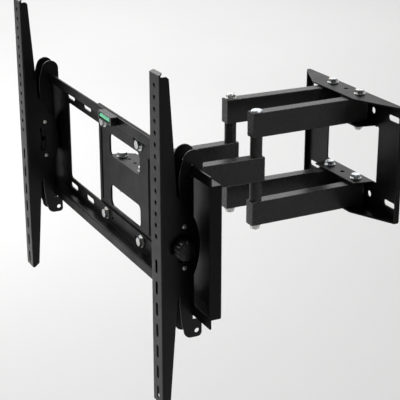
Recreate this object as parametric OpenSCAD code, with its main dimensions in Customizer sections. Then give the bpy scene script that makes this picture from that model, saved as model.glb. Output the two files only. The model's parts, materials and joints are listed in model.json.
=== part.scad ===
// Full-motion TV wall mount: wall plate, two folding arms, head bracket,
// TV plate and two tilting TV rails on sliding carriages.
// Millimetres. +Z is up, +X is to the right, -Y is out from the wall to the TV.
// Origin: centre of the wall plate's back face.

/* [Wall plate] */
// Width of the wall plate
wall_w = 280; // [260:1:360]
// Height of the wall plate
wall_h = 194; // [190:1:230]
// Sheet thickness of the wall plate
wall_t = 2.5; // [2:0.1:3]
// Depth of the top and bottom flanges
wall_flange_d = 44; // [40:1:50]
// Half the length of the straight front edge of those flanges
wall_flange_half = 62; // [58:1:80]
// Width of the window in the wall plate
wall_window_w = 150; // [140:1:156]
// Distance from centre to centre of the wall slots, across
wall_slot_x = 229; // [210:1:236]
// Distance from centre to centre of the wall slots, up and down
wall_slot_z = 144; // [138:1:150]
// Distance from centre to centre of the round wall holes, across
wall_hole_x = 114; // [106:1:120]

/* [Arms] */
// Distance between the two arms' pivot axes
pivot_gap = 80; // [76:1:90]
// Length of each arm tube from pivot to pivot
arm_len = 193; // [160:1:240]
// Angle that each arm is folded by at rest
rest_fold = 1; // [1:0.5:10]
// Width of the arm tubes
tube_w = 20; // [18:1:22]
// Height of the arm tubes
tube_h = 40; // [38:1:40]
// Wall of the arm tubes
tube_t = 2; // [1.5:0.1:2.5]
// Height of the underside of the upper wall-arm tubes
arm_z = 53.5; // [53:0.1:53.5]
// Radius of all pivot bolts
bolt_r = 5; // [4:0.5:5]

/* [TV plate] */
// Length of the TV plate
plate_w = 650; // [620:1:700]
// Height of the TV plate over its lips
plate_h = 216; // [214:1:220]
// Depth of the TV plate's tray
tray_d = 16; // [14:1:18]
// Height of the upper and lower lips
lip_h = 13; // [12:0.5:16]
// Length of the window in the TV plate
plate_window_w = 460; // [440:1:480]
// Height of the window in the TV plate
plate_window_h = 133; // [130:1:136]

/* [Rails] */
// Length of the TV rails
rail_len = 478; // [470:1:500]
// Width of the TV rails
rail_w = 34; // [34:1:36]
// Sheet thickness of rails and carriages
rail_t = 2; // [1.8:0.1:2.2]
// Place of the right rail along the TV plate
rail_right_x = 257; // [100:1:290]
// Place of the left rail along the TV plate
rail_left_x = -289; // [-290:1:-100]
// Pitch of the round holes in the rails
hole_pitch = 16; // [15:0.5:16]
// Pitch of the slots in the rails
slot_pitch = 32; // [30:1:32]

/* [Hidden] */
$fn = 48;

e = 1;                 // how far a cutter passes through a face
bend_r = 3;            // outside radius of a sheet-metal bend
gap = 0.3;             // clearance between bodies
fit = 0.06;            // radial running clearance on a pivot bolt
steel_black = [0.09, 0.09, 0.10];
plastic_black = [0.05, 0.05, 0.05];
zinc = [0.80, 0.80, 0.82];
nylon = [0.85, 0.85, 0.80];

// Arms, worked out from the pivots
half_gap = pivot_gap / 2;
wall_pivot_y = -19;
elbow_x = half_gap + arm_len * sin(rest_fold);
elbow_y = wall_pivot_y - arm_len * cos(rest_fold);
head_y = wall_pivot_y - 2 * arm_len * cos(rest_fold);
arm_top = arm_z + tube_h;
tube_end = 9.5;        // how far a tube runs past its pivot
sleeve_r = 8.2;        // outside radius of the sleeve welded in a tube's end

// Wall plate
wall_tab_z = 50.5;     // outer face of the inner tabs
wall_tab_d = 36;
wall_tab_half = 66;
wall_side_d = 9;
wall_inner = wall_h / 2 - wall_t;

// Head bracket
head_front_y = head_y - 13.9;
head_t = 3;
head_half_w = 104;
head_half_h = 97;
head_window_half = 58;
head_window_top = 60;
head_flange_z = 24.2;  // outer face of the two pivot flanges
head_flange_d = 38;
head_flange_taper = 18;
head_rib_x = 91;       // pressed rib on each upright bar

// TV plate
panel_t = 2.5;
panel_back_y = head_front_y - gap;
panel_front_y = panel_back_y - panel_t;
lip_front_y = panel_front_y - tray_d;
ledge_z = plate_h / 2 - lip_h;
adapter_bolt_x = 68;
adapter_bolt_z = 77;

// Rails and carriages, in a frame with y = 0 on the rail's front face
rail_front_y = lip_front_y - 46;
lip_y = 46;
rail_top = rail_len / 2 - 2;
rail_bottom = -rail_len / 2 - 2;
tongue_z = rail_top - 3;       // where the rail's tongue bends back
flange_top = rail_top - 5;     // top of the rail's side flanges
hole_r = 3.5;
first_hole_z = 218.9;
hole_n = 14;
first_slot_z = -32.6;
slot_n = 7;
slot_len = 20;
tilt_y = -44;          // tilt axis, ahead of the rail's front face
tilt_z = -5.5;
ear_r = 101;           // rear edge of the rail's ears, about the tilt axis
clamp_y = 30.5;        // clamp stud, behind the rail's front face
clamp_r = 4;
clamp_slot_r = 4.5;
clamp_arc = clamp_y - tilt_y;
tilt_half_angle = 12.9;
rivet_y = 34.3;
rivet_dz = 29.8;
cheek_x = rail_w / 2 - rail_t - gap;   // outer face of a carriage cheek
foot_hole_y = 53.5;
foot_hole_z = -134;

// ---------- helpers ----------

// A rectangle with round corners, centred
module round_rect(w, h, r) {
    square([w - 2 * r, h], center = true);
    square([w, h - 2 * r], center = true);
    for (x = [-1, 1], y = [-1, 1])
        translate([x * (w / 2 - r), y * (h / 2 - r)]) circle(r);
}

// A slot with round ends along the first axis, centred
module slot2d(length, r) {
    square([length - 2 * r, 2 * r], center = true);
    for (x = [-1, 1]) translate([x * (length / 2 - r), 0]) circle(r);
}

// The waste outside a round corner of radius r at the origin, which fills +x +y
module corner_waste(r) {
    difference() {
        translate([-e, -e]) square(r + e);
        translate([r, r]) circle(r);
    }
}

// Puts a 2D shape drawn in (x, z) across the y range y0..y1
module across_y(y0, y1) {
    translate([0, y1, 0]) rotate([90, 0, 0]) linear_extrude(y1 - y0) children();
}

// Puts a 2D shape drawn in (y, z) across the x range x0..x1
module across_x(x0, x1) {
    translate([x0, 0, 0]) rotate([90, 0, 90]) linear_extrude(x1 - x0) children();
}

// Extrudes a 2D plan from z0 up to z1
module across_z(z0, z1) {
    translate([0, 0, z0]) linear_extrude(z1 - z0) children();
}

module ring(r_out, r_in, z0, z1) {
    across_z(z0, z1) difference() { circle(r_out); circle(r_in); }
}

// Hexagonal nut or bolt head: flange washer below, hexagon above
module hex_on_flange(af, h, flange_r, flange_h, bore) {
    difference() {
        union() {
            cylinder(r = flange_r, h = flange_h);
            translate([0, 0, flange_h]) intersection() {
                cylinder(r = af / 2 / cos(30), h = h, $fn = 6);
                cylinder(r1 = af / 2 * 1.25, r2 = af / 2 * 1.02, h = h);
            }
        }
        if (bore > 0) translate([0, 0, -e]) cylinder(r = bore, h = flange_h + h + 2 * e);
    }
}

// ---------- wall plate ----------

// Front-to-back outline of the top and bottom flanges
module wall_flange_plan() {
    polygon([
        [-wall_w / 2, 0], [-wall_w / 2, -wall_side_d],
        [-wall_flange_half, -wall_flange_d], [wall_flange_half, -wall_flange_d],
        [wall_w / 2, -wall_side_d], [wall_w / 2, 0]
    ]);
}

// Side section of plate, flanges and tabs, before the outlines are cut
module wall_section() {
    difference() {
        union() {
            translate([-wall_t, -wall_h / 2]) square([wall_t, wall_h]);
            for (s = [-1, 1])
                translate([-wall_flange_d, s > 0 ? wall_inner : -wall_h / 2])
                    square([wall_flange_d, wall_t]);
        }
        for (s = [0, 1]) mirror([0, s])
            translate([0, -wall_h / 2]) mirror([1, 0]) corner_waste(bend_r);
    }
}

module wall_tab() {
    difference() {
        across_z(wall_tab_z - wall_t, wall_tab_z) difference() {
            polygon([
                [-wall_tab_half, 0], [-wall_tab_half + 7, -wall_tab_d],
                [wall_tab_half - 7, -wall_tab_d], [wall_tab_half, 0]
            ]);
            for (x = [-half_gap, half_gap]) translate([x, wall_pivot_y]) circle(bolt_r + fit);
            translate([0, wall_pivot_y]) circle(4);
        }
    }
}

module wall_plate() {
    color(steel_black) {
        difference() {
            intersection() {
                across_x(-wall_w / 2, wall_w / 2) wall_section();
                across_z(-wall_h, wall_h) wall_flange_plan();
            }
            across_y(-wall_t - e, e) {
                round_rect(wall_window_w, 2 * (wall_tab_z - wall_t), 3);
                for (x = [-1, 1], z = [-1, 1]) {
                    translate([x * wall_slot_x / 2, z * wall_slot_z / 2]) slot2d(31, 5);
                    translate([x * wall_hole_x / 2, z * wall_slot_z / 2]) circle(5.5);
                }
            }
            across_z(-wall_h, wall_h) {
                for (x = [-half_gap, half_gap]) translate([x, wall_pivot_y]) circle(bolt_r + fit);
                translate([0, wall_pivot_y]) circle(4);
            }
        }
        for (s = [0, 1]) mirror([0, 0, s]) wall_tab();
        for (s = [0, 1]) mirror([s, 0, 0])
            across_x(wall_w / 2 - wall_t, wall_w / 2)
                translate([-wall_side_d, -wall_inner - e / 2])
                    square([wall_side_d, 2 * wall_inner + e]);
    }
}

// Shank from under one flange to past the tab, with its head on top
module wall_bolt(z_head, z_end) {
    translate([0, 0, z_head]) hex_on_flange(14, 6, 9.5, 2, 0);
    translate([0, 0, z_end]) cylinder(r = bolt_r, h = z_head - z_end + e / 2);
}

module wall_pivot_bolts() {
    color(zinc) for (x = [-half_gap, half_gap]) translate([x, wall_pivot_y, 0]) {
        wall_bolt(wall_h / 2, wall_tab_z - wall_t - 9);
        wall_bolt(-wall_tab_z + wall_t, -wall_h / 2 - 9);
    }
}

module wall_pivot_nuts() {
    color(zinc) for (x = [-half_gap, half_gap], z = [wall_tab_z - wall_t, -wall_h / 2])
        translate([x, wall_pivot_y, z]) mirror([0, 0, 1]) hex_on_flange(14, 6, 9.5, 1.2, bolt_r);
}

// Nylon thrust washers above and below both tubes of one arm
module wall_washers(side) {
    color(nylon) translate([side * half_gap, wall_pivot_y, 0])
        for (s = [0, 1]) mirror([0, 0, s]) {
            ring(9, bolt_r + fit, arm_top + gap, wall_inner - gap);
            ring(9, bolt_r + fit, wall_tab_z + gap, arm_z - gap);
        }
}
module wall_washers_left() { wall_washers(-1); }
module wall_washers_right() { wall_washers(1); }

// ---------- arms ----------

// Rectangular tube along -Y from its first pivot at the origin, with a welded
// sleeve in each end; bore radii at the first and second pivot
module arm_tube(bore_1, bore_2, round_last) {
    length = arm_len + 2 * tube_end;
    difference() {
        union() {
            difference() {
                translate([-tube_w / 2, -arm_len - tube_end, 0]) cube([tube_w, length, tube_h]);
                translate([-tube_w / 2 + tube_t, -arm_len - tube_end - e, tube_t])
                    cube([tube_w - 2 * tube_t, length + 2 * e, tube_h - 2 * tube_t]);
            }
            for (y = [0, -arm_len]) translate([0, y, 0]) cylinder(r = sleeve_r, h = tube_h);
        }
        translate([0, 0, -e]) cylinder(r = bore_1, h = tube_h + 2 * e);
        translate([0, -arm_len, -e]) cylinder(r = bore_2, h = tube_h + 2 * e);
        if (round_last) translate([0, -arm_len, -e]) tube_end_waste();
        translate([0, -arm_len - tube_end - e, tube_h / 2]) rotate([-90, 0, 0])
            linear_extrude(length + 2 * e) difference() {
                square([tube_w + e, tube_h + e], center = true);
                round_rect(tube_w, tube_h, 1.5);
            }
    }
}

// Waste that leaves a half-round end on a tube that ends at -tube_end
module tube_end_waste() {
    difference() {
        translate([-tube_w, -tube_w, 0]) cube([2 * tube_w, tube_w, tube_h + 2 * e]);
        cylinder(r = tube_w / 2, h = tube_h + 2 * e);
    }
}

// Turns an arm or forearm about its first pivot
module at_wall_pivot(side) {
    translate([side * half_gap, wall_pivot_y, 0]) rotate([0, 0, side * rest_fold]) children();
}
module at_elbow(side) {
    translate([side * elbow_x, elbow_y, 0]) rotate([0, 0, -side * rest_fold]) children();
}

module upper_tube(side) {
    color(steel_black) at_wall_pivot(side) translate([0, 0, arm_z])
        arm_tube(bolt_r + fit, bolt_r + fit, false);
}
module lower_tube(side) {
    color(steel_black) at_wall_pivot(side) translate([0, 0, -arm_top])
        arm_tube(bolt_r + fit, bolt_r + fit, false);
}
module upper_tube_left() { upper_tube(-1); }
module upper_tube_right() { upper_tube(1); }
module lower_tube_left() { lower_tube(-1); }
module lower_tube_right() { lower_tube(1); }

// Plastic cap on a tube's end that faces -Y, with its plug inside the tube
module tube_cap() {
    w = tube_w - 2 * tube_t;
    h = tube_h - 2 * tube_t;
    translate([0, -1.2, tube_h / 2]) rotate([90, 0, 0]) translate([0, 0, -1.2])
        linear_extrude(1.2) round_rect(tube_w, tube_h, 1.5);
    translate([-w / 2, 0, tube_t]) difference() {
        cube([w, 1.3, h]);
        translate([1.5, -e / 2, 1.5]) cube([w - 3, 2 + e, h - 3]);
    }
}

module wall_arm_caps(side) {
    color(plastic_black) at_wall_pivot(side) for (z = [arm_z, -arm_top]) {
        translate([0, -arm_len - tube_end, z]) tube_cap();
        translate([0, tube_end, z]) mirror([0, 1, 0]) tube_cap();
    }
}
module wall_arm_caps_left() { wall_arm_caps(-1); }
module wall_arm_caps_right() { wall_arm_caps(1); }

// Spacer tubes between the forearm and the wall arm's two tubes
module elbow_spacers(side) {
    color(steel_black) translate([side * elbow_x, elbow_y, 0]) for (s = [0, 1])
        mirror([0, 0, s]) ring(9.75, bolt_r + fit, tube_h / 2 + 1.4, arm_z);
}
module elbow_spacers_left() { elbow_spacers(-1); }
module elbow_spacers_right() { elbow_spacers(1); }

// Long elbow bolt through both tubes and the forearm
module elbow_bolt_left() {
    color(zinc) translate([-elbow_x, elbow_y, 0]) {
        translate([0, 0, -arm_top - 3]) cylinder(r = bolt_r, h = 2 * arm_top + 3 + 7);
        translate([0, 0, -arm_top]) mirror([0, 0, 1]) hex_on_flange(14, 6, 9.5, 2, 0);
    }
}
module elbow_bolt_right() {
    color(zinc) translate([elbow_x, elbow_y, 0]) {
        translate([0, 0, -arm_top - 8]) cylinder(r = bolt_r, h = 2 * arm_top + 8 + e);
        translate([0, 0, arm_top]) cylinder(r = 9.3, h = 1.6);
        translate([0, 0, arm_top + 1.6]) cylinder(r1 = 9.3, r2 = 7.6, h = 1.4);
    }
}

module elbow_nut_left() {
    color(zinc) translate([-elbow_x, elbow_y, arm_top]) hex_on_flange(14, 5, 9.5, 1.5, bolt_r);
}
module elbow_nut_right() {
    color(zinc) translate([elbow_x, elbow_y, -arm_top]) mirror([0, 0, 1])
        hex_on_flange(14, 6, 9.5, 1.5, bolt_r);
}

// Forearm tube: round end at the head, square end at the elbow
module forearm_tube(side) {
    color(steel_black) at_elbow(side) translate([0, 0, -tube_h / 2])
        arm_tube(sleeve_r - 2, side > 0 ? bolt_r + gap : bolt_r + fit, true);
}
module forearm_tube_left() { forearm_tube(-1); }
module forearm_tube_right() { forearm_tube(1); }

module forearm_caps(side) {
    color(plastic_black) at_elbow(side) translate([0, tube_end, -tube_h / 2])
        mirror([0, 1, 0]) tube_cap();
}
module forearm_caps_left() { forearm_caps(-1); }
module forearm_caps_right() { forearm_caps(1); }

// Flanged nylon bushes in the forearm's elbow sleeve
module forearm_bushes(side) {
    color(nylon) translate([side * elbow_x, elbow_y, 0]) for (s = [0, 1]) mirror([0, 0, s]) {
        ring(sleeve_r - 2, bolt_r + fit, 0.5, tube_h / 2 + 0.5);
        ring(9.5, bolt_r + fit, tube_h / 2, tube_h / 2 + 1.1);
    }
}
module forearm_bushes_left() { forearm_bushes(-1); }
module forearm_bushes_right() { forearm_bushes(1); }

// Thrust washers between a forearm and the head bracket's flanges
module head_washers(side) {
    color(nylon) translate([side * half_gap, head_y, 0]) for (s = [0, 1]) mirror([0, 0, s])
        ring(9, bolt_r + fit, tube_h / 2 + gap, head_flange_z - head_t - gap);
}
module head_washers_left() { head_washers(-1); }
module head_washers_right() { head_washers(1); }

// ---------- head bracket ----------

module head_flange_plan() {
    back = head_flange_d;
    polygon([
        [-head_window_half + 1, 0], [-head_window_half + 1, head_flange_taper],
        [-head_window_half + 14, back], [head_window_half - 14, back],
        [head_window_half - 1, head_flange_taper], [head_window_half - 1, 0]
    ]);
}

module head_bracket() {
    setback = head_y - head_front_y;
    color(steel_black) translate([0, head_front_y, 0]) {
        difference() {
            across_y(0, head_t) round_rect(2 * head_half_w, 2 * head_half_h, 4);
            for (s = [0, 1]) mirror([0, 0, s]) {
                middle = (head_window_top + head_flange_z) / 2;
                across_y(-e, head_t + e) translate([0, middle])
                    round_rect(2 * head_window_half, head_window_top - head_flange_z, 9);
                for (x = [-1, 1]) across_y(-e, head_t + e)
                    translate([x * adapter_bolt_x, adapter_bolt_z]) circle(10);
            }
            for (s = [0, 1]) mirror([s, 0, 0]) across_z(-head_half_h - e, head_half_h + e)
                translate([head_half_w, 0]) mirror([1, 0]) corner_waste(bend_r);
        }
        for (s = [0, 1]) mirror([0, 0, s])
            across_z(head_flange_z - head_t, head_flange_z) difference() {
                head_flange_plan();
                for (x = [-half_gap, half_gap]) translate([x, setback]) circle(bolt_r + fit);
                for (x = [-22, 0, 22]) translate([x, setback + 4]) circle(3);
            }
        for (s = [0, 1]) mirror([s, 0, 0])
            translate([head_rib_x, 0, -60]) intersection() {
                translate([0, 1.5, 0]) cylinder(r = 3.2, h = 120);
                translate([-4, -2, 0]) cube([8, 2.5, 120]);
            }
    }
}

module head_pivot_bolts() {
    color(zinc) for (x = [-half_gap, half_gap]) translate([x, head_y, 0]) {
        translate([0, 0, -head_flange_z - 9]) cylinder(r = bolt_r, h = 2 * head_flange_z + 10);
        translate([0, 0, head_flange_z]) hex_on_flange(14, 6, 8.5, 1.5, 0);
    }
}

module head_pivot_nuts() {
    color(zinc) for (x = [-half_gap, half_gap]) translate([x, head_y, -head_flange_z])
        mirror([0, 0, 1]) hex_on_flange(14, 6, 8.5, 1.2, bolt_r);
}

// ---------- TV plate ----------

// Side section of panel, ledges and lips
module plate_section() {
    difference() {
        union() {
            translate([panel_front_y, -ledge_z]) square([panel_t, 2 * ledge_z]);
            for (s = [0, 1]) mirror([0, s]) {
                translate([lip_front_y, ledge_z - panel_t])
                    square([tray_d + panel_t, panel_t]);
                translate([lip_front_y, ledge_z - panel_t]) square([panel_t, lip_h + panel_t]);
            }
        }
        for (s = [0, 1]) mirror([0, s]) {
            translate([panel_back_y, ledge_z]) mirror([1, 0]) mirror([0, 1]) corner_waste(bend_r);
            translate([lip_front_y, ledge_z - panel_t]) corner_waste(2);
        }
    }
}

module tv_plate() {
    half = plate_w / 2;
    color(steel_black) difference() {
        union() {
            across_x(-half, half) plate_section();
            for (x = [-half, half - panel_t])
                translate([x, lip_front_y + gap, -ledge_z + 1])
                    cube([panel_t, tray_d, 2 * ledge_z - 2]);
        }
        across_y(panel_front_y - e, panel_back_y + e) {
            round_rect(plate_window_w, plate_window_h, 6);
            for (x = [-1, 1], z = [-1, 1]) {
                for (sx = [143.5, 215.5]) translate([x * sx, z * 79]) slot2d(34, 4.75);
                translate([x * adapter_bolt_x, z * adapter_bolt_z]) circle(4.1);
                translate([x * 46, z * 79]) circle(3);
            }
        }
        for (s = [0, 1]) mirror([s, 0, 0]) across_z(-ledge_z - e, ledge_z + e)
            translate([half, panel_back_y]) mirror([1, 0]) mirror([0, 1]) corner_waste(bend_r);
    }
}

module tv_plate_bolts() {
    color(zinc) for (x = [-1, 1], z = [-1, 1])
        translate([x * adapter_bolt_x, panel_front_y, z * adapter_bolt_z]) rotate([90, 0, 0]) {
            hex_on_flange(13, 5, 10, 1.8, 0);
            translate([0, 0, -14]) cylinder(r = clamp_r, h = 14 + e / 2);
        }
}

module tv_plate_nuts() {
    color(zinc) for (x = [-1, 1], z = [-1, 1])
        translate([x * adapter_bolt_x, head_front_y + head_t + gap, z * adapter_bolt_z])
            rotate([-90, 0, 0]) hex_on_flange(13, 5, 12, 1.5, clamp_r);
}

// Spirit level in front of the upper lip
module level_body() {
    color(plastic_black) translate([0, lip_front_y, plate_h / 2 - 5]) difference() {
        translate([-25, -12, -6.5]) cube([50, 12, 13]);
        translate([-20.5, -12 - e, -4.6]) cube([39, 8.4 + e, 9.2]);
    }
}
module level_vial() {
    color([0.2, 0.9, 0.5]) translate([-20.4, lip_front_y - 7.8, plate_h / 2 - 5])
        rotate([0, 90, 0]) cylinder(r = 4, h = 38.8);
}

// ---------- carriages ----------

// Cheek of a carriage, drawn in (y, z)
module cheek_outline() {
    slot_front = lip_y - 0.4;
    back = 49;
    ledge_gap = ledge_z - panel_t - gap;
    difference() {
        union() {
            translate([48.3, 115.2]) circle(14.3);
            translate([34, 96]) square([28.6, 19.2]);
            polygon([
                [34, 118], [30, 104], [28, 92], [28, -92], [31.3, -124], [34, -132],
                [slot_front, -132], [slot_front, -ledge_gap], [back, -ledge_gap],
                [back, ledge_gap], [slot_front, ledge_gap], [slot_front, 118]
            ]);
            translate([45, -132]) circle(11.2);
            translate([54.9, -137.2]) circle(6);
            translate([45, -143.2]) square([10, 20]);
            translate([34, -132]) square([20, 16]);
            translate([45, -137.2]) square([15.9, 21.2]);
        }
        translate([slot_front, ledge_gap]) square([3.6, plate_h / 2 + 1.2 - ledge_gap]);
        translate([clamp_y, tilt_z]) circle(clamp_r + fit);
        translate([foot_hole_y, foot_hole_z]) circle(3.5);
    }
}

module at_rail(x) { translate([x, rail_front_y, 0]) children(); }

module carriage(x) {
    color(steel_black) at_rail(x) {
        for (s = [0, 1]) mirror([s, 0, 0]) across_x(cheek_x - rail_t, cheek_x) cheek_outline();
        translate([-cheek_x + e / 2, 49 - rail_t, -84]) cube([2 * cheek_x - e, rail_t, 168]);
    }
}
module carriage_left() { carriage(rail_left_x); }
module carriage_right() { carriage(rail_right_x); }

// Threaded stud through the outer cheek, with its nut inside the carriage
module clamp_stud(x, side) {
    color(zinc) at_rail(x) translate([side * (cheek_x - rail_t), clamp_y, tilt_z])
        rotate([0, side * 90, 0]) {
            cylinder(r = clamp_r, h = 18);
            translate([0, 0, -6]) cylinder(r = 7, h = 6, $fn = 6);
        }
}
module clamp_stud_left() { clamp_stud(rail_left_x, -1); }
module clamp_stud_right() { clamp_stud(rail_right_x, 1); }

// Eight-lobed clamping knob on the outside of a rail
module tilt_knob(x, side) {
    inner = rail_w / 2 + 2 * gap + 1;
    color(plastic_black) at_rail(x) translate([side * inner, clamp_y, tilt_z])
        rotate([0, side * 90, 0]) difference() {
            union() {
                cylinder(r = 10, h = 4);
                translate([0, 0, 3]) cylinder(r = 16.5, h = 11);
            }
            translate([0, 0, -e]) cylinder(r = clamp_r + fit, h = 14);
            for (a = [0:45:315]) rotate([0, 0, a]) translate([18.5, 0, 2]) cylinder(r = 3, h = 14);
        }
}
module tilt_knob_left() { tilt_knob(rail_left_x, -1); }
module tilt_knob_right() { tilt_knob(rail_right_x, 1); }

// ---------- TV rails ----------

// Side outline of a rail, drawn in (y, z)
module rail_outline() {
    top_d = 13;
    bottom_d = 11.6;
    mid_d = 24.3;
    taper_z = 60;
    polygon([
        [0, rail_bottom], [3, rail_bottom], [bottom_d, rail_bottom + 7],
        [mid_d, tilt_z - taper_z], [mid_d, tilt_z + taper_z],
        [top_d, flange_top - 3], [top_d - 3, flange_top], [rail_t + 0.2, flange_top],
        [rail_t + 0.2, tongue_z], [0, tongue_z]
    ]);
    intersection() {
        translate([tilt_y, tilt_z]) circle(ear_r, $fn = 96);
        translate([0, tilt_z - ear_r]) square([2 * ear_r, 2 * ear_r]);
    }
}

// Arc slot that the clamp stud runs in, drawn in (y, z)
module clamp_slot() {
    far = 2 * clamp_arc;
    translate([tilt_y, tilt_z]) {
        intersection() {
            difference() {
                circle(clamp_arc + clamp_slot_r, $fn = 96);
                circle(clamp_arc - clamp_slot_r, $fn = 96);
            }
            polygon([
                [0, 0], [far, -far * tan(tilt_half_angle)], [far, far * tan(tilt_half_angle)]
            ]);
        }
        for (a = [-1, 1]) rotate(a * tilt_half_angle) translate([clamp_arc, 0])
            circle(clamp_slot_r);
    }
}

// Short tongue that closes the top of a rail, bent back with rounded corners
module rail_tongue() {
    intersection() {
        across_x(-rail_w / 2, rail_w / 2) polygon([
            [0, tongue_z - 2], [0, tongue_z], [5.2, rail_top], [6.2, rail_top - 1.73],
            [rail_t, tongue_z - 1.15], [rail_t, tongue_z - 2]
        ]);
        across_z(tongue_z - 2 - e, rail_top + e) round_rect(29, 12.8, 6);
    }
}

// What is cut off one upper corner of a rail's front face
module rail_tip_waste() {
    difference() {
        translate([-8, 0]) square([8 + e, 7 + e]);
        translate([-9.5, -1]) circle(8);
    }
}

module rail_channel() {
    difference() {
        intersection() {
            across_z(rail_bottom, rail_top) difference() {
                translate([-rail_w / 2, 0]) square([rail_w, 70]);
                translate([-rail_w / 2 + rail_t, rail_t]) square([rail_w - 2 * rail_t, 70]);
                for (s = [0, 1]) mirror([s, 0])
                    translate([rail_w / 2, 0]) mirror([1, 0]) corner_waste(bend_r);
            }
            across_x(-rail_w, rail_w) rail_outline();
        }
        across_y(-e, rail_t + e) {
            for (s = [0, 1]) mirror([s, 0]) translate([rail_w / 2, flange_top])
                rail_tip_waste();
            for (i = [0:hole_n - 1]) translate([0, first_hole_z - i * hole_pitch]) circle(hole_r);
            for (i = [0:slot_n - 1]) translate([0, first_slot_z - i * slot_pitch])
                rotate(90) slot2d(slot_len, hole_r);
        }
        across_x(-rail_w, rail_w) {
            clamp_slot();
            for (s = [-1, 1]) translate([rivet_y, tilt_z + s * rivet_dz]) circle(2);
            translate([42.5, tilt_z + 48.5]) circle(1.6);
        }
    }
}
module rail(x) {
    color(steel_black) at_rail(x) {
        rail_tongue();
        rail_channel();
    }
}
module rail_left() { rail(rail_left_x); }
module rail_right() { rail(rail_right_x); }

// Rivets that hold the friction pads to the rail's ears
module rail_rivets(x) {
    color(zinc) at_rail(x) for (s = [0, 1], z = [-1, 1]) mirror([s, 0, 0])
        translate([rail_w / 2 - rail_t, rivet_y, tilt_z + z * rivet_dz]) rotate([0, 90, 0]) {
            cylinder(r = 2, h = rail_t + e / 2);
            translate([0, 0, rail_t]) cylinder(r1 = 3.4, r2 = 2.2, h = 1.3);
        }
}
module rail_rivets_left() { rail_rivets(rail_left_x); }
module rail_rivets_right() { rail_rivets(rail_right_x); }

// Fibre washer between each knob and its rail
module friction_pads(x, side) {
    color(nylon) at_rail(x)
        translate([side * (rail_w / 2 + gap), clamp_y, tilt_z])
            rotate([0, side * 90, 0]) ring(9.5, clamp_r + fit, 0, 1);
}
module friction_pads_left() { friction_pads(rail_left_x, -1); }
module friction_pads_right() { friction_pads(rail_right_x, 1); }

// ---------- output ----------

wall_plate();
wall_pivot_bolts();
wall_pivot_nuts();
wall_washers_left();
wall_washers_right();
upper_tube_left();
lower_tube_left();
wall_arm_caps_left();
upper_tube_right();
lower_tube_right();
wall_arm_caps_right();
elbow_spacers_left();
elbow_bolt_left();
elbow_nut_left();
elbow_spacers_right();
elbow_bolt_right();
elbow_nut_right();
forearm_tube_left();
forearm_caps_left();
forearm_bushes_left();
forearm_tube_right();
forearm_caps_right();
forearm_bushes_right();
head_washers_left();
head_washers_right();
head_bracket();
head_pivot_bolts();
head_pivot_nuts();
tv_plate();
tv_plate_bolts();
tv_plate_nuts();
level_body();
level_vial();
carriage_left();
carriage_right();
clamp_stud_left();
clamp_stud_right();
tilt_knob_left();
tilt_knob_right();
rail_left();
rail_right();
rail_rivets_left();
rail_rivets_right();
friction_pads_left();
friction_pads_right();
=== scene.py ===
"""Full-motion TV wall mount: looks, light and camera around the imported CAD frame."""
import json
import math

import bmesh
import bpy
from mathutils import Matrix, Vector


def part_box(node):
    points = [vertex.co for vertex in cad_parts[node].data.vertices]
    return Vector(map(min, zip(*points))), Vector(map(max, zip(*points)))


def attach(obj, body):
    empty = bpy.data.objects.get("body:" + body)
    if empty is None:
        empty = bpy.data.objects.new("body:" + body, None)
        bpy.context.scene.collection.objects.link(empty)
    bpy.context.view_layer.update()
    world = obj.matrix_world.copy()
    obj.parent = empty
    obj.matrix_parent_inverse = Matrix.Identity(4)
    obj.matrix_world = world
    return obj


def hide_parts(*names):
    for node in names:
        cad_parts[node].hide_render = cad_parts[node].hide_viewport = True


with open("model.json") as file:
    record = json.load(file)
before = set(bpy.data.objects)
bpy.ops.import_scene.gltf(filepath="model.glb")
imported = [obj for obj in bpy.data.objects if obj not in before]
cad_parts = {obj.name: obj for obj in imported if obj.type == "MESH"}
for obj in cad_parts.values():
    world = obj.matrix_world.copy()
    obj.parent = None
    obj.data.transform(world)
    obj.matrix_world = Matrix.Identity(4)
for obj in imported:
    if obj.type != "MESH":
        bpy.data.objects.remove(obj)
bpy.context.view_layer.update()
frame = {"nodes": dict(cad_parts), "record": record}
SLOT_OF = {row["node"]: row["material_slot"] for row in frame["record"]["subparts"]}

MM = 0.001
UP = (0, 0, 1)
DOWN = (0, 0, -1)
MERGE_DISTANCE = 1e-7
CREASE_ANGLE = math.radians(38)
FLOOR_Z = -1.25


# ---------- materials ----------

def feed(tree, socket, value):
    """Links a socket to another socket, or gives it a plain value."""
    if isinstance(value, bpy.types.NodeSocket):
        tree.links.new(value, socket)
    else:
        socket.default_value = value


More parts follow.
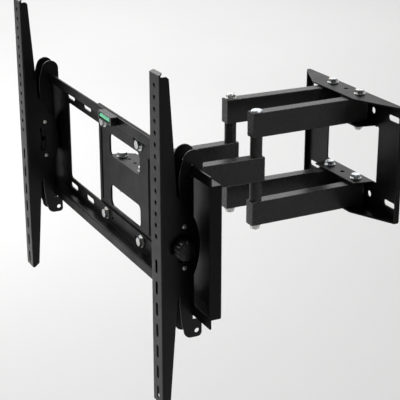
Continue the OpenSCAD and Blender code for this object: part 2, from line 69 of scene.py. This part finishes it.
class Shader:
    """A material being built: its tree, its Principled shader and short ways to add nodes."""

    BEVEL_SAMPLES = 6
    # Dot product of the rounded and the flat normal, away from an edge and right on one
    FLAT_DOT, EDGE_DOT = 0.995, 0.80
    # Sockets of the Mix node when it mixes colours
    MIX_FACTOR, MIX_A, MIX_B, MIX_RESULT = 0, 6, 7, 2

    def __init__(self, name, **values):
        self.material = bpy.data.materials.new(name)
        self.material.use_nodes = True
        self.tree = self.material.node_tree
        self.surface = self.tree.nodes["Principled BSDF"]
        self.set(self.surface, values)
        self.coord = self.tree.nodes.new("ShaderNodeTexCoord").outputs["Object"]

    def set(self, node, values):
        for key, value in values.items():
            feed(self.tree, node.inputs[key.replace("_", " ")], value)

    def add(self, kind, **values):
        node = self.tree.nodes.new(kind)
        self.set(node, values)
        return node

    def noise(self, scale, detail=3.0, roughness=0.55, vector=None):
        node = self.add("ShaderNodeTexNoise", Scale=scale, Detail=detail, Roughness=roughness,
                        Vector=vector or self.coord)
        return node.outputs["Fac"]

    def ramp(self, value, low, high, out_low=0.0, out_high=1.0):
        node = self.add("ShaderNodeMapRange", Value=value, From_Min=low, From_Max=high,
                        To_Min=out_low, To_Max=out_high)
        return node.outputs["Result"]

    def math(self, operation, a, b):
        node = self.tree.nodes.new("ShaderNodeMath")
        node.operation = operation
        for socket, value in zip(node.inputs, (a, b)):
            feed(self.tree, socket, value)
        return node.outputs[0]

    def mix(self, factor, a, b):
        node = self.tree.nodes.new("ShaderNodeMix")
        node.data_type = "RGBA"
        for index, value in ((self.MIX_FACTOR, factor), (self.MIX_A, a), (self.MIX_B, b)):
            feed(self.tree, node.inputs[index], value)
        return node.outputs[self.MIX_RESULT]

    def rounded(self, radius):
        """The normal with every edge rounded off by radius, and 0..1 for how near an edge is."""
        bevel = self.tree.nodes.new("ShaderNodeBevel")
        bevel.samples = self.BEVEL_SAMPLES
        bevel.inputs["Radius"].default_value = radius
        flat = self.tree.nodes.new("ShaderNodeNewGeometry").outputs["Normal"]
        dot = self.tree.nodes.new("ShaderNodeVectorMath")
        dot.operation = "DOT_PRODUCT"
        self.tree.links.new(bevel.outputs["Normal"], dot.inputs[0])
        self.tree.links.new(flat, dot.inputs[1])
        near_edge = self.ramp(dot.outputs["Value"], self.FLAT_DOT, self.EDGE_DOT)
        return bevel.outputs["Normal"], near_edge

    def bump(self, height, distance, normal, strength):
        node = self.add("ShaderNodeBump", Strength=strength, Distance=distance, Height=height,
                        Normal=normal)
        return node.outputs["Normal"]

    def finish(self, color, roughness, normal):
        self.set(self.surface, {"Base Color": color, "Roughness": roughness, "Normal": normal})
        return self.material


def grey(value, warm=0.0):
    return (value * (1 + warm), value, value * (1 - warm), 1.0)


def powder_coat(name, dark, light, rough, peel, edge, ior=1.42):
    """Semi-gloss black powder coat: orange peel, faint cloudiness, dust, and lighter edges that
    are partly wear and partly a painted highlight.
    """
    s = Shader(name, IOR=ior)
    normal, near_edge = s.rounded(0.0009)
    cloud = s.ramp(s.noise(11.0, 4.0), 0.35, 0.65)
    speck = s.ramp(s.noise(900.0, 2.0), 0.60, 0.72)
    patchy = s.ramp(s.noise(60.0, 5.0, 0.7), 0.38, 0.62, 0.15, 0.8)
    # Lighter colour along every edge: partly wear, partly a painted highlight
    wear_and_highlight = s.math("MULTIPLY", near_edge, patchy)
    color = s.mix(cloud, grey(dark), grey(light, 0.02))
    color = s.mix(s.math("MULTIPLY", speck, 0.25), color, grey(light * 2.2))
    color = s.mix(wear_and_highlight, color, grey(edge, 0.03))
    handled = s.ramp(s.noise(26.0, 5.0, 0.6), 0.35, 0.65, rough - 0.05, rough + 0.06)
    roughness = s.math("ADD", handled, s.math("MULTIPLY", speck, 0.06))
    coarse = s.noise(520.0, 2.0)
    fine = s.math("MULTIPLY", s.noise(1700.0, 1.0), 0.35)
    height = s.math("ADD", coarse, fine)
    return s.finish(color, roughness, s.bump(height, peel, normal, 0.55))


def moulded_plastic(name, dark, light, rough, grain):
    """Moulded black plastic with a fine spark-eroded grain and rubbed edges."""
    s = Shader(name, IOR=1.46)
    normal, near_edge = s.rounded(0.0007)
    color = s.mix(s.ramp(s.noise(40.0, 4.0), 0.35, 0.65), grey(dark), grey(light))
    color = s.mix(s.math("MULTIPLY", near_edge, 0.5), color, grey(light * 2.0))
    roughness = s.ramp(s.noise(120.0, 4.0), 0.3, 0.7, rough - 0.05, rough + 0.07)
    cells = s.add("ShaderNodeTexVoronoi", Scale=2100.0, Vector=s.coord).outputs["Distance"]
    return s.finish(color, roughness, s.bump(cells, grain, normal, 0.6))


def zinc_plate(name):
    """Bright zinc: passivation from blue to yellow, fine drawn marks, dull hollows."""
    bluish, yellowish = (0.68, 0.72, 0.76, 1.0), (0.78, 0.77, 0.71, 1.0)
    s = Shader(name, Metallic=1.0)
    normal, near_edge = s.rounded(0.0005)
    color = s.mix(s.ramp(s.noise(70.0, 4.0), 0.38, 0.62), bluish, yellowish)
    color = s.mix(s.ramp(s.noise(420.0, 3.0), 0.58, 0.72, 0.0, 0.5), color, grey(0.34))
    color = s.mix(s.math("MULTIPLY", near_edge, 0.6), color, grey(0.9))
    stretch = s.add("ShaderNodeMapping", Vector=s.coord, Scale=(1.0, 1.0, 9.0)).outputs["Vector"]
    marks = s.noise(800.0, 3.0, 0.6, stretch)
    roughness = s.ramp(marks, 0.3, 0.7, 0.22, 0.42)
    return s.finish(color, roughness, s.bump(marks, 0.00005, normal, 0.5))


def tinted_vial(name):
    """Green acrylic of the level's vial, with faint streaks, a weak painted glow and painted
    highlights on its edges.
    """
    # The emission is a painted glow: the vial gives off no light of its own
    s = Shader(name, IOR=1.49, Transmission_Weight=0.12, Coat_Weight=0.6, Emission_Strength=0.22,
               Emission_Color=(0.10, 0.95, 0.50, 1.0))
    normal, near_edge = s.rounded(0.0004)
    streak = s.ramp(s.noise(260.0, 3.0), 0.3, 0.7)
    color = s.mix(streak, (0.06, 0.90, 0.42, 1.0), (0.30, 1.00, 0.60, 1.0))
    # Lighter colour along the edges: a painted highlight
    color = s.mix(near_edge, color, (0.6, 0.95, 0.65, 1.0))
    roughness = s.ramp(streak, 0.0, 1.0, 0.12, 0.24)
    return s.finish(color, roughness, s.bump(streak, 0.00004, normal, 0.4))


MATERIALS = {
    "black_steel": powder_coat("black_powder_coat", dark=0.0022, light=0.0042, rough=0.32,
                               peel=0.00005, edge=0.030, ior=1.38),
    "black_plastic": moulded_plastic("black_moulded_plastic", dark=0.006, light=0.010,
                                     rough=0.26, grain=0.00003),
    "zinc_fasteners": zinc_plate("zinc_plate"),
    "nylon_washers": moulded_plastic("dark_nylon", dark=0.030, light=0.045, rough=0.50,
                                     grain=0.00004),
    "vial": tinted_vial("tinted_vial"),
}
# Steel pieces that catch the light differently: welds, round and box tubes, pressed panels
BEAD_COAT = powder_coat("weld_under_coat", dark=0.0030, light=0.0056, rough=0.30,
                        peel=0.00022, edge=0.050)
# The tube coat's pale edge colour is mostly a painted highlight along the tube edges, on top of
# wear
TUBE_COAT = powder_coat("tube_powder_coat", dark=0.0240, light=0.0320, rough=0.26,
                        peel=0.00005, edge=0.300, ior=1.41)
PANEL_COAT = powder_coat("panel_powder_coat", dark=0.0022, light=0.0042, rough=0.36,
                         peel=0.00005, edge=0.030, ior=1.28)
PANELS = ("wall_plate", "head_bracket", "tv_plate")

for node, node_object in frame["nodes"].items():
    coat = MATERIALS[SLOT_OF[node]]
    if "tube" in node or "spacers" in node:
        coat = TUBE_COAT
    elif node in PANELS:
        coat = PANEL_COAT
    node_object.data.materials.clear()
    node_object.data.materials.append(coat)


# ---------- pieces ----------

def piece(name, mesh, body, slot, material=None, replaces=()):
    """Makes a piece from a bmesh in row-frame metres and hangs it on its body."""
    bmesh.ops.remove_doubles(mesh, verts=mesh.verts, dist=MERGE_DISTANCE)
    bmesh.ops.recalc_face_normals(mesh, faces=mesh.faces)
    data = bpy.data.meshes.new(name)
    mesh.to_mesh(data)
    mesh.free()
    for polygon in data.polygons:
        polygon.use_smooth = True
    data.set_sharp_from_angle(angle=CREASE_ANGLE)
    data.materials.append(material or MATERIALS[slot])
    obj = bpy.data.objects.new(name, data)
    bpy.context.scene.collection.objects.link(obj)
    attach(obj, body)
    if replaces:
        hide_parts(*replaces)


def loft(mesh, rings, close_start=True, close_end=True):
    """Joins rings of the same number of points into a skin, with flat ends."""
    made = [[mesh.verts.new(point) for point in ring] for ring in rings]
    count = len(made[0])
    for low, high in zip(made, made[1:]):
        for i in range(count):
            j = (i + 1) % count
            mesh.faces.new((low[i], low[j], high[j], high[i]))
    if close_start:
        mesh.faces.new(made[0])
    if close_end:
        mesh.faces.new(made[-1])


def lathe(mesh, centre, axis, profile, segments=48, lobes=0, lobe_depth=0.0, lobe_power=2.2):
    """Turns (radius, distance along axis) in mm round a centre in mm; lobes wave the radius."""
    axis = Vector(axis).normalized()
    across = axis.orthogonal().normalized()
    upright = axis.cross(across)
    rings = []
    for radius, along in profile:
        ring = []
        for i in range(segments):
            angle = 2 * math.pi * i / segments
            wave = 1.0
            if lobes:
                crest = abs(math.sin(lobes * angle / 2))
                wave = 1.0 - lobe_depth * (1.0 - crest) ** lobe_power
            point = Vector(centre) + axis * along
            point += (across * math.cos(angle) + upright * math.sin(angle)) * radius * wave
            ring.append(point * MM)
        rings.append(ring)
    loft(mesh, rings)


def corner_mm(node):
    low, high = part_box(node)
    return [value / MM for value in low], [value / MM for value in high]


def centre_mm(node):
    low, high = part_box(node)
    return [(a + b) / 2 / MM for a, b in zip(low, high)]


def bead(mesh, start, end, radius, pitch=1.6, sides=10):
    """A weld bead between two points in mm: overlapping ripples along a round ridge."""
    start, end = Vector(start), Vector(end)
    length = (end - start).length
    axis = (end - start).normalized()
    across = axis.orthogonal().normalized()
    upright = axis.cross(across)
    steps = max(6, int(length / pitch * 4))
    rings = []
    for k in range(steps + 1):
        t = k / steps
        taper = min(1.0, 6 * t * (1 - t) + 0.25)
        ripple = 0.86 + 0.14 * abs(math.sin(math.pi * t * length / pitch))
        ripple = ripple + 0.05 * math.sin(2.3 * t * length)
        size = radius * taper * ripple
        base = start + (end - start) * t
        rings.append([
            (base + (across * math.cos(a) + upright * math.sin(a)) * size) * MM
            for a in (2 * math.pi * i / sides for i in range(sides))
        ])
    loft(mesh, rings)


def ring_bead(mesh, centre, radius, size, segments=72, sides=8):
    """A weld bead round a vertical post."""
    rings = []
    for k in range(segments):
        turn = 2 * math.pi * k / segments
        ripple = size * (0.85 + 0.15 * abs(math.sin(18 * turn)))
        out = Vector((math.cos(turn), math.sin(turn), 0))
        base = Vector(centre) + out * radius
        rings.append([
            (base + (out * math.cos(a) + Vector(UP) * math.sin(a)) * ripple) * MM
            for a in (2 * math.pi * i / sides for i in range(sides))
        ])
    loft(mesh, rings + rings[:1], close_start=False, close_end=False)


def thread(mesh, centre, axis, radius, start, end, pitch=1.25):
    """An exposed screw end: ridges along the axis and a chamfered tip, in mm."""
    root = radius * 0.86
    profile = [(root, start)]
    along = start
    while along + pitch <= end - 0.6:
        profile += [(root, along + 0.05), (radius, along + pitch * 0.45),
                    (radius, along + pitch * 0.60), (root, along + pitch)]
        along += pitch
    profile += [(radius * 0.98, end - 0.5), (radius * 0.78, end), (radius * 0.30, end)]
    lathe(mesh, centre, axis, profile, 32)


# Clamping knobs: a collar, then a grip of eight lobes that tapers to a nearly flat face
KNOB_LOBES = 8
KNOB_COLLAR = [(4.3, 0.0), (9.6, 0.0), (10.0, 0.4), (10.0, 2.8)]
KNOB_GRIP = [
    (12.8, 2.7), (15.2, 3.0), (16.2, 3.6), (16.4, 4.8), (12.9, 13.3), (12.4, 13.8),
    (11.6, 14.0), (3.0, 13.8),
]
for side, sign in (("left", -1), ("right", 1)):
    low, high = corner_mm("tilt_knob_" + side)
    centre = centre_mm("tilt_knob_" + side)
    centre[0] = high[0] if sign < 0 else low[0]
    outward = (sign, 0, 0)
    knob = bmesh.new()
    lathe(knob, centre, outward, KNOB_COLLAR, segments=72)
    lathe(knob, centre, outward, KNOB_GRIP, segments=160, lobes=KNOB_LOBES, lobe_depth=0.12)
    piece("knob_grip_" + side, knob, "knob_" + side, "black_plastic",
          replaces=("tilt_knob_" + side,))

# Nylon insert collars and exposed threads at the free ends of the pivot and elbow bolts.
# Each entry: body, seat of the nut, way the bolt points, nut's height, bolt's end past the seat
PIVOT_X = 40
WALL_PIVOT_Y = -19
WALL_NUT_SEATS = (48.0, -97.0)
HEAD_NUT_SEAT = -24.2
ELBOW_NUT_SEAT = 93.5
BOLT_RADIUS = 5.0
collars = []
for x in (-PIVOT_X, PIVOT_X):
    for seat in WALL_NUT_SEATS:
        collars.append(("wall", (x, WALL_PIVOT_Y, seat), DOWN, 7.2, 9.0))
    head_pivot_y = centre_mm("head_washers_left")[1]
    collars.append(("head", (x, head_pivot_y, HEAD_NUT_SEAT), DOWN, 7.2, 9.0))
left_elbow = centre_mm("elbow_bolt_left")[:2]
right_elbow = centre_mm("elbow_bolt_right")[:2]
collars.append(("arm_left", (*left_elbow, ELBOW_NUT_SEAT), UP, 6.5, 7.0))
collars.append(("arm_right", (*right_elbow, -ELBOW_NUT_SEAT), DOWN, 7.5, 8.0))
for index, (body, centre, axis, height, tip) in enumerate(collars):
    collar = bmesh.new()
    lathe(collar, centre, axis, [
        (6.6, height - 0.8), (6.6, height - 0.1), (6.2, height + 0.55), (5.6, height + 0.9),
        (5.0, height + 0.95)], segments=40)
    piece(f"nut_collar_{index}", collar, body, "zinc_fasteners")
    end = bmesh.new()
    thread(end, centre, axis, BOLT_RADIUS, height - 1.0, tip + 1.4)
    piece(f"bolt_thread_{index}", end, body, "zinc_fasteners")

# Weld beads: inner tabs to the wall plate, flanges to the head plate, posts to the tubes
TAB_WELD_Y = -2.7
welds = bmesh.new()
for z in (-1, 1):
    bead(welds, (-62, TAB_WELD_Y, z * 50.7), (62, TAB_WELD_Y, z * 50.7), 1.3)
    for x in (-1, 1):
        bead(welds, (x * 66, TAB_WELD_Y, z * 47.9), (x * 70, TAB_WELD_Y, z * 47.9), 1.1)
piece("tab_welds", welds, "wall", "black_steel", BEAD_COAT)

HEAD_PLATE_THICK = 3.0
FLANGE_WELD_Z = 20.9
head_back = corner_mm("head_bracket")[0][1] + HEAD_PLATE_THICK
weld_y = head_back + 0.3
welds = bmesh.new()
for z in (-FLANGE_WELD_Z, FLANGE_WELD_Z):
    bead(welds, (-25, weld_y, z), (25, weld_y, z), 1.0)
    for x in (-1, 1):
        bead(welds, (x * 51.5, weld_y, z), (x * 57, weld_y, z), 1.0)
piece("flange_welds", welds, "head", "black_steel", BEAD_COAT)

POST_WELD_Z = 53.4
for side, elbow in (("left", left_elbow), ("right", right_elbow)):
    welds = bmesh.new()
    for z in (-POST_WELD_Z, POST_WELD_Z):
        ring_bead(welds, (*elbow, z), radius=9.5, size=0.7)
    piece("post_welds_" + side, welds, "arm_" + side, "black_steel", BEAD_COAT)

# Level vial: a barrel of acrylic, slightly fuller in the middle, with two dark rings round it
VIAL_RING_X = 5.2
low, high = corner_mm("level_vial")
middle = centre_mm("level_vial")
reach = (high[0] - low[0]) / 2
vial = bmesh.new()
lathe(vial, (low[0], middle[1], middle[2]), (1, 0, 0), [
    (2.2, 0.0), (3.5, 0.1), (3.85, 0.6), (3.9, 2.0), (4.0, reach), (3.9, 2 * reach - 2.0),
    (3.85, 2 * reach - 0.6), (3.5, 2 * reach - 0.1), (2.2, 2 * reach)])
piece("vial_barrel", vial, "head", "vial", replaces=("level_vial",))
rings = bmesh.new()
for x in (-VIAL_RING_X, VIAL_RING_X):
    lathe(rings, (middle[0] + x, middle[1], middle[2]), (1, 0, 0), [
        (3.6, -0.35), (4.02, -0.35), (4.08, -0.15), (4.08, 0.15), (4.02, 0.35), (3.6, 0.35)])
piece("vial_rings", rings, "head", "black_plastic")


# ---------- stage, light and camera ----------

def flat_sheet(name, size, location, material):
    """A level square sheet that is part of the stage, not of the object."""
    data = bpy.data.meshes.new(name)
    half = size / 2
    corners = [(-half, -half, 0), (half, -half, 0), (half, half, 0), (-half, half, 0)]
    data.from_pydata(corners, [], [(0, 1, 2, 3)])
    data.materials.append(material)
    obj = bpy.data.objects.new(name, data)
    obj.location = location
    bpy.context.scene.collection.objects.link(obj)


def softbox(name, location, target, size, energy):
    light = bpy.data.lights.new(name, "AREA")
    light.shape = "RECTANGLE"
    light.size, light.size_y = size
    light.energy = energy
    obj = bpy.data.objects.new(name, light)
    obj.location = location
    aim = Vector(target) - Vector(location)
    obj.rotation_euler = aim.to_track_quat("-Z", "Y").to_euler()
    bpy.context.scene.collection.objects.link(obj)


paper = Shader("pale_paper", Roughness=0.9)
paper.surface.inputs["Specular IOR Level"].default_value = 0.1
mottle = paper.ramp(paper.noise(0.8, 3.0), 0.3, 0.7)
paper_color = paper.mix(mottle, grey(0.80), grey(0.82))
paper.set(paper.surface, {"Base Color": paper_color})
flat_sheet("floor", 60.0, (0, 0, FLOOR_Z), paper.material)

softbox("overhead", (0.95, 0.95, 2.3), target=(0, -0.25, 0), size=(1.0, 1.0), energy=20)
softbox("left_front", (-2.4, -2.2, 1.4), target=(0, -0.4, 0), size=(1.6, 1.6), energy=8)
softbox("far_floor", (-7.2, 1.9, 4.5), target=(-7.5, 2.0, FLOOR_Z), size=(6.0, 6.0), energy=330)
softbox("front_top", (0.0, -2.2, 1.95), target=(0.2, -0.45, 0), size=(1.1, 1.1), energy=12)
softbox("left_floor", (-3.6, -0.6, 1.5), target=(-3.5, -0.6, FLOOR_Z), size=(2.0, 2.0), energy=48)

# Pale surroundings, brightest above, left of and behind the wall plate, dimmest opposite
BRIGHT_SIDE = (-0.80, 0.42, 0.43)
SKY_TINT = (1.0, 1.0, 0.99, 1.0)
world = bpy.data.worlds.new("studio")
world.use_nodes = True
sky = world.node_tree
background = sky.nodes["Background"]
direction = sky.nodes.new("ShaderNodeTexCoord").outputs["Generated"]
toward = sky.nodes.new("ShaderNodeVectorMath")
toward.operation = "DOT_PRODUCT"
toward.inputs[1].default_value = Vector(BRIGHT_SIDE).normalized()
sky.links.new(direction, toward.inputs[0])
glow = sky.nodes.new("ShaderNodeMapRange")
sky.links.new(toward.outputs["Value"], glow.inputs["Value"])
for key, value in (("From Min", -0.1), ("From Max", 1.0), ("To Min", 0.05), ("To Max", 0.76)):
    glow.inputs[key].default_value = value
sky.links.new(glow.outputs["Result"], background.inputs["Strength"])
background.inputs["Color"].default_value = SKY_TINT
bpy.context.scene.world = world

AZIMUTH = 63.36
ELEVATION = 20.35
CAMERA_AT = (1.6121, -1.0978, 0.6140)
LENS_MM = 108.07
SENSOR_MM = 36.0
FARTHEST_SEEN = 200.0
camera = bpy.data.cameras.new("camera")
camera.sensor_width = SENSOR_MM
camera.lens = LENS_MM
camera.clip_end = FARTHEST_SEEN
camera_object = bpy.data.objects.new("camera", camera)
camera_object.location = CAMERA_AT
camera_object.rotation_euler = (math.radians(90.0 - ELEVATION), 0.0, math.radians(AZIMUTH))
bpy.context.scene.collection.objects.link(camera_object)
bpy.context.scene.camera = camera_object
bpy.context.scene.view_settings.view_transform = "Standard"
